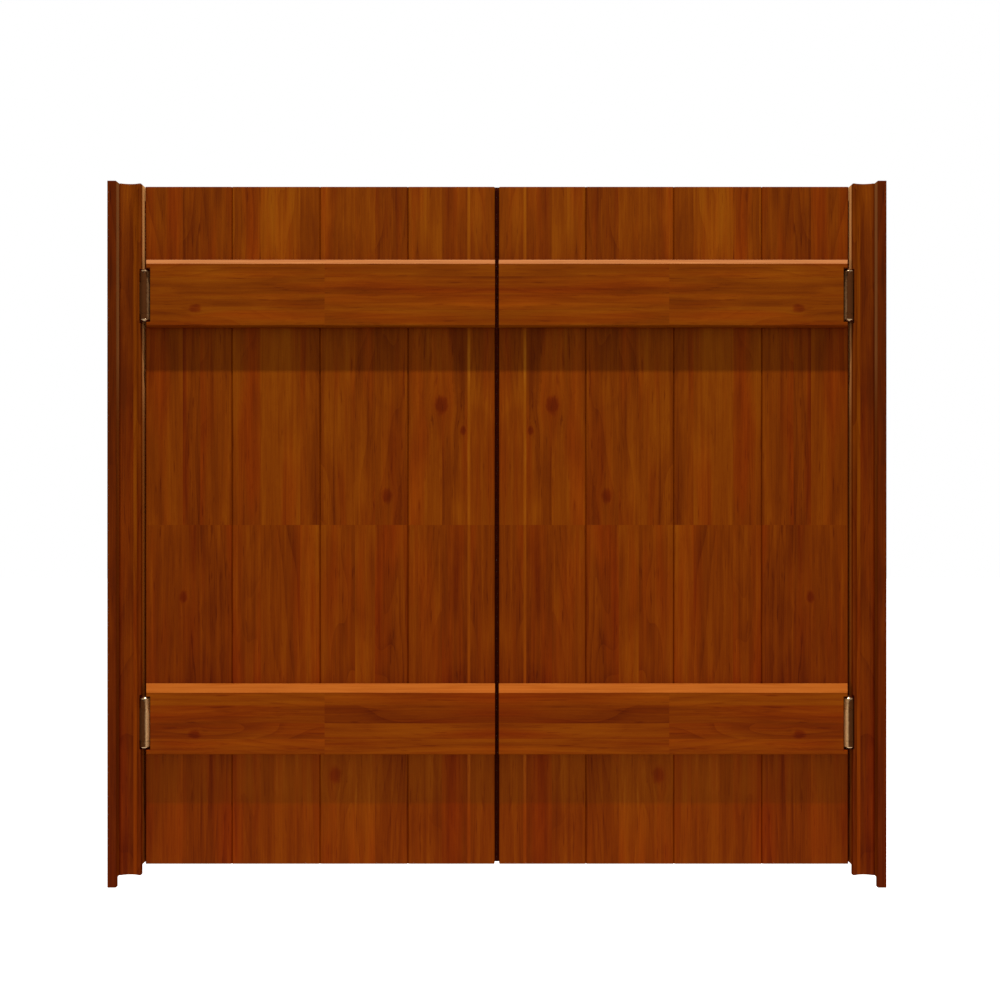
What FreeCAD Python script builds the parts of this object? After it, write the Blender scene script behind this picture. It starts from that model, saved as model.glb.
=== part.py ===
"""Pair of cafe swinging doors on double-action spring hinges, with the jambs that carry them.

Millimetres, +Z up.  X runs across the doorway, and Y runs through it: the rails face -Y.
The origin is the middle of the doorway, level with the feet of the jamb boards, in the
mid-plane of the planks.
"""
import FreeCAD, Part
import os
import Sketcher

document = FreeCAD.newDocument("cafe_doors")
sheet = document.addObject("Spreadsheet::Sheet", "dims")

SIZES = [
    ("clear_width", 1019, "between the hanging strips"),
    ("hinge_gap", 3, "door edge to hanging strip"),
    ("meeting_gap", 6.4, "between the planks of the two doors"),
    ("door_height", 975, "planks"),
    ("plank_thickness", 19, "planks"),
    ("plank_cover", 126.7, "the two middle planks, joint to joint"),
    ("tongue_thickness", 6, "tongue of the plank joint"),
    ("tongue_reach", 6, "tongue of the plank joint"),
    ("joint_play", 0.15, "groove over tongue, each way"),
    ("vee_size", 1.6, "bevel on each side of a plank joint"),
    ("rail_width", 98, "rail, upright, at the planks"),
    ("rail_thickness", 19, "rail"),
    ("rail_slope", 10, "fall of the rail's weathered top"),
    ("rail_overrun", 0.5, "rail past the planks at the meeting edge"),
    ("rail_setback", 11, "outer end of a rail's face to the hanging strip"),
    ("rail_skew", 6.5, "outer end of a rail, farther out at the planks than at its face"),
    ("lower_rail_rise", 162, "foot of the planks to foot of the lower rail"),
    ("upper_rail_drop", 105, "top of the planks to top of the upper rail"),
    ("arris", 1, "bevel on the long edges of rails and jamb boards"),
    ("strip_width", 31, "hanging strip, across the doorway"),
    ("strip_depth", 38, "hanging strip, through the doorway"),
    ("cove_depth", 3, "hollow in the faces of the hanging strip"),
    ("cove_margin", 2.5, "flat beside the hollow"),
    ("jamb_thickness", 12.5, "jamb board, across the doorway"),
    ("jamb_depth", 64, "jamb board, through the doorway"),
    ("door_top_drop", 2, "top of the jambs to top of the planks"),
    ("strip_drop", 13, "foot of the planks to foot of the hanging strip"),
    ("jamb_drop", 26, "foot of the planks to foot of the jamb board"),
    ("foot_lip", 7.5, "front lip of a jamb's foot, the rest being cut back"),
    ("pass_play", 1, "one door past the other's rails, both hinge axes turned"),
    ("barrel_radius", 6.5, "hinge barrel"),
    ("barrel_wall", 1.3, "hinge barrel"),
    ("barrel_height", 76.2, "hinge barrel over its tips"),
    ("barrel_play", 0.5, "hinge barrel to wood"),
    ("notch_play", 3.5, "hinge barrel to the bottom of a rail's notch"),
    ("knuckle_height", 8, "short knuckles of the link plate"),
    ("knuckle_play", 0.3, "between knuckles, along the pin"),
    ("leaf_thickness", 1.5, "jamb leaf and door leaf"),
    ("leaf_margin", 2.5, "door leaf, short of the far face of the plank"),
    ("link_thickness", 1.4, "link plate"),
    ("mortise_play", 0.2, "round the ends of a leaf let into the wood"),
    ("tip_height", 4, "end tip of a barrel"),
    ("tip_radius", 5.8, "end tip of a barrel"),
    ("tip_flange", 1, "disc under the dome of a tip"),
    ("spigot_length", 4, "tip or collar inside the barrel"),
    ("collar_height", 6, "tension collar"),
    ("key_radius", 1, "pin-key holes of the collar"),
    ("pin_radius", 2, "hinge pin"),
    ("pin_end_depth", 0.8, "pin end past the face of a tip's disc"),
    ("running_play", 0.05, "radial, pin in bush"),
    ("bush_length", 3, "bushes in the ends of a leaf knuckle"),
    ("wire_radius", 0.9, "torsion spring"),
    ("spring_play", 0.3, "spring to barrel and to bushes"),
    ("spring_turns", 15, "torsion spring"),
    ("screw_play", 0.05, "radial, screw in its hole"),
    ("recess_width", 0.9, "each slot of a screw's cross recess"),
    ("recess_margin", 1.4, "end of a slot to the rim of the head"),
    ("recess_depth", 1.3, "cross recess"),
    ("leaf_screw_radius", 1.6, "shank"),
    ("leaf_screw_head", 3.1, "head"),
    ("leaf_screw_length", 20, "overall"),
    ("leaf_screw_pitch", 16, "between the screws of a leaf"),
    ("leaf_screw_stagger", 3, "screws to each side of their line"),
    ("rail_screw_radius", 2, "shank"),
    ("rail_screw_head", 4, "head"),
    ("rail_screw_length", 32, "overall"),
    ("rail_screw_clear", 8, "past the points of the leaf screws, from both edges of a plank"),
    ("rail_screw_edge", 24, "from the edges of a rail's face"),
    ("strip_screw_length", 34, "overall, same shank and head as the rail screws"),
    ("strip_screw_inner", 130, "from the middle of the jamb"),
    ("strip_screw_outer", 440, "from the middle of the jamb"),
    ("wall_hole_radius", 2.75, "clearance hole for a wall screw"),
    ("wall_head_radius", 6, "counterbore for its head"),
    ("wall_head_depth", 10, "counterbore for its head"),
    ("wall_hole_pitch", 400, "between the wall holes"),
    ("wall_hole_setback", 7, "wall holes behind the mid-plane of the planks"),
    ("seal_width", 5, "brush seal, through the doorway"),
    ("seal_depth", 3, "brush seal inside its kerf"),
    ("seal_gap", 0.98, "between the two brush seals"),
    ("overcut", 1, "cutters past the faces they open"),
]
for row, (alias, number, meaning) in enumerate(SIZES, start=1):
    sheet.set(f"A{row}", alias)
    sheet.set(f"B{row}", str(number))
    sheet.setAlias(f"B{row}", alias)
    sheet.set(f"C{row}", meaning)
document.recompute()

# Distances from the middle of the doorway.
STRIP_FACE = "(dims.clear_width / 2)"
STRIP_BACK = f"({STRIP_FACE} + dims.strip_width)"
JAMB_FACE = f"({STRIP_BACK} + dims.jamb_thickness)"
DOOR_EDGE = f"({STRIP_FACE} - dims.hinge_gap)"
PLANK_MEETING = "(dims.meeting_gap / 2)"
RAIL_MEETING = f"({PLANK_MEETING} - dims.rail_overrun)"
BARREL_X = f"({STRIP_FACE} - dims.barrel_radius)"
RAIL_FACE_END = f"({STRIP_FACE} - dims.rail_setback)"
RAIL_PLANK_END = f"({RAIL_FACE_END} + dims.rail_skew)"
DOOR_MIDDLE = f"(({DOOR_EDGE} + {PLANK_MEETING}) / 2)"
PLANK_EDGES = [
    DOOR_EDGE,
    f"({DOOR_MIDDLE} + dims.plank_cover)",
    DOOR_MIDDLE,
    f"({DOOR_MIDDLE} - dims.plank_cover)",
    PLANK_MEETING,
]

# Distances from the mid-plane of the planks.
PLANK_FACE = "(dims.plank_thickness / 2)"
RAIL_FACE = f"({PLANK_FACE} + dims.rail_thickness)"
STRIP_FRONT = "(dims.strip_depth / 2)"
JAMB_FRONT = "(dims.jamb_depth / 2)"
# With both axes turned a door stands two barrel offsets from its place, clear of the other's rails.
BARREL_Y = "((dims.plank_thickness + dims.rail_thickness + dims.pass_play) / 2)"

# Heights above the feet of the jamb boards.
DOOR_FOOT = "dims.jamb_drop"
DOOR_TOP = f"({DOOR_FOOT} + dims.door_height)"
JAMB_TOP = f"({DOOR_TOP} + dims.door_top_drop)"
STRIP_FOOT = "(dims.jamb_drop - dims.strip_drop)"
JAMB_MIDDLE = f"({JAMB_TOP} / 2)"
RAIL_FOOT = {
    "lower": f"({DOOR_FOOT} + dims.lower_rail_rise)",
    "upper": f"({DOOR_TOP} - dims.upper_rail_drop - dims.rail_width)",
}
RAIL_FRONT_WIDTH = "(dims.rail_width - dims.rail_slope)"
HINGE_Z = {level: f"({foot} + {RAIL_FRONT_WIDTH} / 2)" for level, foot in RAIL_FOOT.items()}

# A hinge about its own origin: -X is the jamb's side, and the jamb's barrel is at -Y.
BARREL_HALF = "(dims.barrel_height / 2)"
BORE_RADIUS = "(dims.barrel_radius - dims.barrel_wall)"
SPIGOT_RADIUS = f"({BORE_RADIUS} - dims.running_play)"
PIN_BORE = "(dims.pin_radius + dims.running_play)"
LINK_LOW = f"(-{BARREL_HALF} + dims.tip_height)"
LINK_HIGH = f"({BARREL_HALF} - dims.tip_height - dims.collar_height)"
LOW_KNUCKLE_TOP = f"({LINK_LOW} + dims.knuckle_height)"
HIGH_KNUCKLE_FOOT = f"({LINK_HIGH} - dims.knuckle_height)"
LEAF_LOW = f"({LOW_KNUCKLE_TOP} + dims.knuckle_play)"
LEAF_HIGH = f"({HIGH_KNUCKLE_FOOT} - dims.knuckle_play)"
LEAF_MIDDLE = f"(({LEAF_LOW} + {LEAF_HIGH}) / 2)"
COLLAR_TOP = f"({LINK_HIGH} + dims.collar_height)"
JAMB_SEAT = "(-dims.barrel_radius)"
DOOR_SEAT = f"({JAMB_SEAT} + dims.hinge_gap)"
LINK_MIDDLE = f"(({JAMB_SEAT} + {DOOR_SEAT}) / 2)"
DOOR_LEAF_END = f"(-{PLANK_FACE} + dims.leaf_margin)"
JAMB_LEAF_END = PLANK_FACE
RECESS_END = f"({BARREL_Y} - dims.barrel_radius - dims.barrel_play)"

SIDES = {"left": -1, "right": 1}
LEVELS = ("lower", "upper")
HALF_TURN = FreeCAD.Rotation(FreeCAD.Vector(0, 0, 1), 180)
HINGE_TURN = {"left": FreeCAD.Rotation(), "right": HALF_TURN}
UPSIDE_DOWN = FreeCAD.Rotation(FreeCAD.Vector(1, 0, 0), 180)
Z_TO_PLUS_X = FreeCAD.Rotation(FreeCAD.Vector(0, 1, 0), 90)
Z_TO_MINUS_X = FreeCAD.Rotation(FreeCAD.Vector(0, 1, 0), -90)
Z_TO_PLUS_Y = FreeCAD.Rotation(FreeCAD.Vector(1, 0, 0), -90)
Z_TO_MINUS_Y = FreeCAD.Rotation(FreeCAD.Vector(1, 0, 0), 90)

nodes = []


def value(expression):
    """The number that an expression of the sheet's sizes has now."""
    return float(sheet.evalExpression(expression))


def bind(item, bindings):
    for path, expression in bindings.items():
        item.setExpression(path, expression)


def place(item, x="0", y="0", z="0", turn=None):
    if turn is not None:
        item.Placement = FreeCAD.Placement(FreeCAD.Vector(), turn)
    bind(item, {"Placement.Base.x": x, "Placement.Base.y": y, "Placement.Base.z": z})
    return item


def block(name, xs, ys, zs):
    """Box between two pairs of expressions on each axis."""
    box = document.addObject("Part::Box", name)
    bind(box, {
        "Length": f"{xs[1]} - {xs[0]}",
        "Width": f"{ys[1]} - {ys[0]}",
        "Height": f"{zs[1]} - {zs[0]}",
    })
    return place(box, xs[0], ys[0], zs[0])


def side_block(name, side, distances, ys, zs):
    """Box on one side of the doorway, between two distances from its middle."""
    near, far = distances
    if SIDES[side] < 0:
        near, far = f"-{far}", f"-{near}"
    return block(name, (near, far), ys, zs)


def rod(name, radius, length, x="0", y="0", z="0", turn=None):
    """Cylinder that starts at the given point and runs along +Z, or where the turn points +Z."""
    cylinder = document.addObject("Part::Cylinder", name)
    bind(cylinder, {"Radius": radius, "Height": length})
    return place(cylinder, x, y, z, turn)


def frustum(name, start_radius, end_radius, length, z="0"):
    cone = document.addObject("Part::Cone", name)
    bind(cone, {"Radius1": start_radius, "Radius2": end_radius, "Height": length})
    return place(cone, z=z)


def joined(name, pieces):
    fuse = document.addObject("Part::MultiFuse", name)
    fuse.Shapes = pieces
    return fuse


def grouped(name, pieces):
    compound = document.addObject("Part::Compound", name)
    compound.Links = pieces
    return compound


def cut(name, base, tools):
    result = document.addObject("Part::Cut", name)
    result.Base = base
    result.Tool = grouped(f"{name}_tools", tools)
    return result


def copy_of(name, original, x="0", y="0", z="0", turn=None):
    return place(grouped(name, [original]), x, y, z, turn)


def node(name, item):
    """Marks an object as one named sub-part of the finished assembly."""
    item.Label = name
    nodes.append(item)
    return item


def padded_outline(name, plane_role, corners, length, x="0", z="0"):
    """Body with one straight-sided sketch on its own origin plane, padded along that plane's normal."""
    body = document.addObject("PartDesign::Body", name)
    plane = next(item for item in body.Origin.OriginFeatures if item.Role == plane_role)
    sketch = body.newObject("Sketcher::SketchObject", f"{name}_outline")
    sketch.AttachmentSupport = [(plane, "")]
    sketch.MapMode = "FlatFace"
    points = [FreeCAD.Vector(value(across), value(up), 0) for across, up in corners]
    for start, end in zip(points, points[1:] + points[:1]):
        sketch.addGeometry(Part.LineSegment(start, end))
    for edge in range(len(corners)):
        following = (edge + 1) % len(corners)
        sketch.addConstraint(Sketcher.Constraint("Coincident", edge, 2, following, 1))
    for edge, (across, up) in enumerate(corners):
        for kind, expression in (("DistanceX", across), ("DistanceY", up)):
            constraint = Sketcher.Constraint(kind, -1, 1, edge, 1, value(expression))
            number = sketch.addConstraint(constraint)
            sketch.setExpression(f"Constraints[{number}]", expression)
    pad = body.newObject("PartDesign::Pad", f"{name}_pad")
    pad.Profile = sketch
    pad.setExpression("Length", length)
    sketch.Visibility = False
    return place(body, x=x, z=z)


def mirrored_corners(side, corners):
    """Corners given as distances from the middle of the doorway, for one side of it."""
    if SIDES[side] > 0:
        return corners
    return [(f"-({across})", up) for across, up in reversed(corners)]


def bevelled_rectangle(xs, ys):
    bevel = "dims.arris"
    return [
        (f"{xs[0]} + {bevel}", ys[0]), (f"{xs[1]} - {bevel}", ys[0]),
        (xs[1], f"{ys[0]} + {bevel}"), (xs[1], f"{ys[1]} - {bevel}"),
        (f"{xs[1]} - {bevel}", ys[1]), (f"{xs[0]} + {bevel}", ys[1]),
        (xs[0], f"{ys[1]} - {bevel}"), (xs[0], f"{ys[0]} + {bevel}"),
    ]


# ---------------------------------------------------------------- screws

def screw_blank(name, radius, head, length, play="0"):
    """Countersunk screw whose head is flush at z = 0; with play, the hole that takes it."""
    shank = f"({radius} + {play})"
    head_radius = f"({head} + {play})"
    head_depth = f"({head} - {radius})"
    point_length = f"({radius} * 2)"
    return joined(name, [
        frustum(f"{name}_head", head_radius, shank, head_depth),
        rod(f"{name}_shank", shank, f"{length} - {head_depth} - {point_length}", z=head_depth),
        frustum(f"{name}_point", shank, f"{shank} / 4", point_length, z=f"{length} - {point_length}"),
    ])


def screw_and_hole(kind, radius, head, length):
    """A screw with a cross recess in its head, and the hole that takes it."""
    name = f"{kind}_screw"
    half = "(dims.recess_width / 2)"
    reach = f"({head} - dims.recess_margin)"
    depths = ("-dims.overcut", "dims.recess_depth")
    slots = [
        block(f"{name}_slot_x", (f"-{reach}", reach), (f"-{half}", half), depths),
        block(f"{name}_slot_y", (f"-{half}", half), (f"-{reach}", reach), depths),
    ]
    screw = cut(name, screw_blank(f"{name}_blank", radius, head, length), slots)
    hole = screw_blank(f"{name}_hole", radius, head, length, "dims.screw_play")
    return screw, hole


leaf_screw, leaf_screw_hole = screw_and_hole(
    "leaf", "dims.leaf_screw_radius", "dims.leaf_screw_head", "dims.leaf_screw_length")
rail_screw, rail_screw_hole = screw_and_hole(
    "rail", "dims.rail_screw_radius", "dims.rail_screw_head", "dims.rail_screw_length")
strip_screw, strip_screw_hole = screw_and_hole(
    "strip", "dims.rail_screw_radius", "dims.rail_screw_head", "dims.strip_screw_length")


def hinge_point(side, x, y):
    """A point of the hinge's own frame, as seen from the doorway's origin."""
    if side == "left":
        return f"-{BARREL_X} + ({x})", f"({y})"
    return f"{BARREL_X} - ({x})", f"-({y})"


def leaf_screw_spots(leaf):
    """Height and offset through the doorway of each screw of a leaf, in the hinge's frame."""
    middle = f"(-{RECESS_END} + {JAMB_LEAF_END}) / 2"
    if leaf == "door":
        middle = f"({DOOR_LEAF_END} + {PLANK_FACE}) / 2"
    return [
        (f"{LEAF_MIDDLE} + {step} * dims.leaf_screw_pitch",
         f"{middle} + {stagger} * dims.leaf_screw_stagger")
        for step, stagger in ((-1, 1), (0, -1), (1, 1))
    ]


def leaf_screw_copies(name, side, level, leaf, original):
    """Copies of a screw or its hole in one leaf of one hinge, in the doorway's frame."""
    seat = {"jamb": JAMB_SEAT, "door": DOOR_SEAT}[leaf]
    towards_plus_x = (leaf == "door") == (side == "left")
    turn = Z_TO_PLUS_X if towards_plus_x else Z_TO_MINUS_X
    copies = []
    for index, (height, offset) in enumerate(leaf_screw_spots(leaf)):
        x, y = hinge_point(side, seat, offset)
        z = f"{HINGE_Z[level]} + {height}"
        copies.append(copy_of(f"{name}_{index}", original, x, y, z, turn))
    return copies


def rail_screw_spots(side, plank, level):
    """Places of the two screws that hold one plank to one rail, at the plank's back face."""
    inset = "(dims.leaf_screw_length + dims.rail_screw_clear)"
    low = f"{RAIL_FOOT[level]} + dims.rail_screw_edge"
    high = f"{RAIL_FOOT[level]} + {RAIL_FRONT_WIDTH} - dims.rail_screw_edge"
    return [
        (f"{SIDES[side]} * ({PLANK_EDGES[plank]} - {inset})", low),
        (f"{SIDES[side]} * ({PLANK_EDGES[plank + 1]} + {inset})", high),
    ]


def rail_screw_copies(name, side, planks, levels, original):
    copies = []
    for plank in planks:
        for level in levels:
            for index, (x, z) in enumerate(rail_screw_spots(side, plank, level)):
                label = f"{name}_{plank}_{level}_{index}"
                copies.append(copy_of(label, original, x, PLANK_FACE, z, Z_TO_MINUS_Y))
    return copies


def strip_screw_copies(name, side, original):
    """Screws through the jamb board into the hanging strip, from the wall's side."""
    turn = Z_TO_PLUS_X if side == "left" else Z_TO_MINUS_X
    x = f"{SIDES[side]} * {JAMB_FACE}"
    offsets = ("-dims.strip_screw_outer", "-dims.strip_screw_inner",
               "dims.strip_screw_inner", "dims.strip_screw_outer")
    return [
        copy_of(f"{name}_{index}", original, x, "0", f"{JAMB_MIDDLE} + {offset}", turn)
        for index, offset in enumerate(offsets)
    ]


# ---------------------------------------------------------------- jambs

def wall_holes(name, side):
    """Three counterbored holes for the wall screws, right through both boards of a jamb."""
    tools = []
    turn = Z_TO_PLUS_X if side == "right" else Z_TO_MINUS_X
    through = f"{JAMB_FACE} - {STRIP_FACE} + 2 * dims.overcut"
    for step in (-1, 0, 1):
        z = f"{JAMB_MIDDLE} + {step} * dims.wall_hole_pitch"
        start = f"{SIDES[side]} * ({STRIP_FACE} - dims.overcut)"
        tools.append(rod(f"{name}_shank_{step + 1}", "dims.wall_hole_radius", through,
                         start, "dims.wall_hole_setback", z, turn))
        tools.append(rod(f"{name}_head_{step + 1}", "dims.wall_head_radius",
                         "dims.wall_head_depth + dims.overcut", start, "dims.wall_hole_setback", z, turn))
    return tools


def foot_rebate(name, side, sides, front, foot, rise):
    """Cuts a foot back behind its front lip, clear of a sill or floor trim."""
    near, far = sides
    xs = (f"({near} - dims.overcut)", f"({far} + dims.overcut)")
    ys = (f"(dims.foot_lip - {front})", f"({front} + dims.overcut)")
    return side_block(name, side, xs, ys, (f"({foot} - dims.overcut)", rise))


def jamb_board(side):
    name = f"{side}_jamb_board"
    corners = bevelled_rectangle((STRIP_BACK, JAMB_FACE), (f"-{JAMB_FRONT}", JAMB_FRONT))
    board = padded_outline(f"{name}_body", "XY_Plane", mirrored_corners(side, corners), JAMB_TOP)
    tools = [foot_rebate(f"{name}_rebate", side, (STRIP_BACK, JAMB_FACE), JAMB_FRONT, "0", STRIP_FOOT)]
    tools += wall_holes(f"{name}_wall_hole", side)
    tools += strip_screw_copies(f"{name}_screw_hole", side, strip_screw_hole)
    return node(name, cut(name, board, tools))


def cove_cutter(name, side, face):
    """Upright cylinder that hollows one face of the hanging strip between its two flats."""
    half_chord = "(dims.strip_width / 2 - dims.cove_margin)"
    radius = f"(({half_chord} ^ 2 + dims.cove_depth ^ 2) / (2 * dims.cove_depth))"
    x = f"{SIDES[side]} * ({STRIP_FACE} + {STRIP_BACK}) / 2"
    y = f"{face} * ({STRIP_FRONT} - dims.cove_depth + {radius})"
    height = f"{JAMB_TOP} - {STRIP_FOOT} + 2 * dims.overcut"
    return rod(name, radius, height, x, y, f"{STRIP_FOOT} - dims.overcut")


def leaf_mortise(name, side, level):
    """Shallow pocket that lets the jamb leaf in flush with the face of the hanging strip."""
    ys = (f"-{RECESS_END}", f"({JAMB_LEAF_END} + dims.mortise_play)")
    if side == "right":
        ys = (f"-{ys[1]}", RECESS_END)
    zs = (f"({HINGE_Z[level]} + {LEAF_LOW} - dims.mortise_play)",
          f"({HINGE_Z[level]} + {LEAF_HIGH} + dims.mortise_play)")
    xs = (f"({STRIP_FACE} - dims.overcut)", f"({STRIP_FACE} + dims.leaf_thickness)")
    return side_block(name, side, xs, ys, zs)


def barrel_recess(name, side, level, face):
    """Clears a barrel at the front (face -1) or back (face 1) corner of the hanging strip."""
    outer = f"({STRIP_FRONT} + dims.overcut)"
    ys = (RECESS_END, outer) if face > 0 else (f"-{outer}", f"-{RECESS_END}")
    reach = f"({BARREL_HALF} + dims.barrel_play)"
    zs = (f"({HINGE_Z[level]} - {reach})", f"({HINGE_Z[level]} + {reach})")
    depth = f"({STRIP_FACE} + dims.leaf_thickness + dims.barrel_play)"
    return side_block(name, side, (f"({STRIP_FACE} - dims.overcut)", depth), ys, zs)


def hanging_strip(side):
    name = f"{side}_hanging_strip"
    corners = [
        (STRIP_FACE, f"-{STRIP_FRONT}"), (STRIP_BACK, f"-{STRIP_FRONT}"),
        (STRIP_BACK, STRIP_FRONT), (STRIP_FACE, STRIP_FRONT),
    ]
    strip = padded_outline(f"{name}_body", "XY_Plane", mirrored_corners(side, corners),
                           f"{JAMB_TOP} - {STRIP_FOOT}", z=STRIP_FOOT)
    tools = [cove_cutter(f"{name}_front_cove", side, -1), cove_cutter(f"{name}_back_cove", side, 1)]
    tools.append(foot_rebate(f"{name}_rebate", side, (STRIP_FACE, STRIP_BACK), STRIP_FRONT,
                             STRIP_FOOT, DOOR_FOOT))
    tools += wall_holes(f"{name}_wall_hole", side)
    tools += strip_screw_copies(f"{name}_screw_hole", side, strip_screw_hole)
    for level in LEVELS:
        tools.append(leaf_mortise(f"{name}_{level}_mortise", side, level))
        tools.append(barrel_recess(f"{name}_{level}_front_recess", side, level, -1))
        tools.append(barrel_recess(f"{name}_{level}_back_recess", side, level, 1))
        tools += leaf_screw_copies(f"{name}_{level}_leaf_hole", side, level, "jamb", leaf_screw_hole)
    return node(name, cut(name, strip, tools))


# ---------------------------------------------------------------- doors

def plank_corners(plank):
    """Section of one plank, counted from the hinge edge, with a tongue towards the meeting edge."""
    far, near = PLANK_EDGES[plank], PLANK_EDGES[plank + 1]
    face, vee = PLANK_FACE, "dims.vee_size"
    tongue = "(dims.tongue_thickness / 2)"
    groove = f"({tongue} + dims.joint_play)"
    tongue_end = f"{near} - dims.tongue_reach"
    groove_end = f"{far} - dims.tongue_reach - dims.joint_play"
    far_side = [(f"{far} - {vee}", f"-{face}"), (far, f"-{face} + {vee}")]
    if plank > 0:
        far_side += [(far, f"-{groove}"), (groove_end, f"-{groove}")]
        far_side += [(groove_end, groove), (far, groove)]
    far_side += [(far, f"{face} - {vee}"), (f"{far} - {vee}", face)]
    near_side = [(f"{near} + {vee}", face), (near, f"{face} - {vee}")]
    if plank < 3:
        near_side += [(near, tongue), (tongue_end, tongue)]
        near_side += [(tongue_end, f"-{tongue}"), (near, f"-{tongue}")]
    near_side += [(near, f"-{face} + {vee}"), (f"{near} + {vee}", f"-{face}")]
    return far_side + near_side


def door_leaf_mortise(name, side, level):
    """Shallow pocket in the door's edge, open to the face where the door leaf's barrel stands."""
    ys = (f"({DOOR_LEAF_END} - dims.mortise_play)", f"({PLANK_FACE} + dims.overcut)")
    if side == "right":
        ys = (f"-{ys[1]}", f"-{ys[0]}")
    zs = (f"({HINGE_Z[level]} + {LEAF_LOW} - dims.mortise_play)",
          f"({HINGE_Z[level]} + {LEAF_HIGH} + dims.mortise_play)")
    xs = (f"({DOOR_EDGE} - dims.leaf_thickness)", f"({DOOR_EDGE} + dims.overcut)")
    return side_block(name, side, xs, ys, zs)


def seal_kerf(name, side):
    half = "(dims.seal_width / 2)"
    xs = (f"({PLANK_MEETING} - dims.overcut)", f"({PLANK_MEETING} + dims.seal_depth)")
    zs = (f"({DOOR_FOOT} - dims.overcut)", f"({DOOR_TOP} + dims.overcut)")
    return side_block(name, side, xs, (f"-{half}", half), zs)


def plank(side, number):
    name = f"{side}_plank_{number + 1}"
    corners = mirrored_corners(side, plank_corners(number))
    board = padded_outline(f"{name}_body", "XY_Plane", corners, "dims.door_height", z=DOOR_FOOT)
    tools = rail_screw_copies(f"{name}_hole", side, [number], LEVELS, rail_screw_hole)
    if number == 0:
        for level in LEVELS:
            tools.append(door_leaf_mortise(f"{name}_{level}_mortise", side, level))
            tools += leaf_screw_copies(f"{name}_{level}_leaf_hole", side, level, "door", leaf_screw_hole)
    if number == 3:
        tools.append(seal_kerf(f"{name}_kerf", side))
    return node(name, cut(name, board, tools))


def rail_end_cutter(name, side, level):
    """Cuts the outer end of a rail to its skew."""
    slant = "(dims.rail_skew / dims.rail_thickness)"
    near = f"({RAIL_FACE_END} - {slant} * dims.overcut)"
    far = f"({RAIL_PLANK_END} + {slant} * dims.overcut)"
    outside = f"({RAIL_PLANK_END} + 2 * dims.overcut)"
    front = f"-({RAIL_FACE} + dims.overcut)"
    back = f"-({PLANK_FACE} - dims.overcut)"
    corners = [(near, front), (outside, front), (outside, back), (far, back)]
    return padded_outline(name, "XY_Plane", mirrored_corners(side, corners),
                          "dims.rail_width + 2 * dims.overcut", z=f"{RAIL_FOOT[level]} - dims.overcut")


def rail_notch(name, side, level):
    """Clears the front barrel of a hinge at the outer end of a rail, through its whole thickness."""
    near = f"({BARREL_X} - dims.barrel_radius - dims.notch_play)"
    far = f"({RAIL_PLANK_END} + dims.overcut)"
    ys = (f"-({RAIL_FACE} + dims.overcut)", f"-({PLANK_FACE} - dims.overcut)")
    reach = f"({BARREL_HALF} + dims.barrel_play)"
    zs = (f"({HINGE_Z[level]} - {reach})", f"({HINGE_Z[level]} + {reach})")
    return side_block(name, side, (near, far), ys, zs)


def rail(side, level):
    """Rail across the face of the planks, its top falling forward over its whole thickness."""
    name = f"{side}_{level}_rail"
    bevel = "dims.arris"
    corners = [
        (f"-{PLANK_FACE}", "0"), (f"-{PLANK_FACE}", "dims.rail_width"),
        (f"-{RAIL_FACE}", RAIL_FRONT_WIDTH), (f"-{RAIL_FACE}", bevel),
        (f"-{RAIL_FACE} + {bevel}", "0"),
    ]
    start = RAIL_MEETING if side == "right" else f"-{RAIL_PLANK_END}"
    board = padded_outline(f"{name}_body", "YZ_Plane", corners, f"{RAIL_PLANK_END} - {RAIL_MEETING}",
                           x=start, z=RAIL_FOOT[level])
    tools = rail_screw_copies(f"{name}_hole", side, range(4), [level], rail_screw_hole)
    tools += [rail_end_cutter(f"{name}_end", side, level), rail_notch(f"{name}_notch", side, level)]
    return node(name, cut(name, board, tools))


def meeting_seal(side):
    """Brush seal: a backing in the kerf of the last plank, and the pile that fills the gap."""
    name = f"{side}_meeting_seal"
    half = "(dims.seal_width / 2)"
    corners = [
        ("dims.seal_gap / 2", f"-{half}"), (f"{PLANK_MEETING} + dims.seal_depth", f"-{half}"),
        (f"{PLANK_MEETING} + dims.seal_depth", half), ("dims.seal_gap / 2", half),
    ]
    return node(name, padded_outline(name, "XY_Plane", mirrored_corners(side, corners),
                                     "dims.door_height", z=DOOR_FOOT))


# ---------------------------------------------------------------- hinges

def at_hinge(item, side, level):
    return place(item, f"{SIDES[side]} * {BARREL_X}", "0", HINGE_Z[level], HINGE_TURN[side])


def leaf_holes(name, leaf, seat, turn):
    return [
        copy_of(f"{name}_hole_{index}", leaf_screw_hole, seat, offset, height, turn)
        for index, (height, offset) in enumerate(leaf_screw_spots(leaf))
    ]


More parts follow.
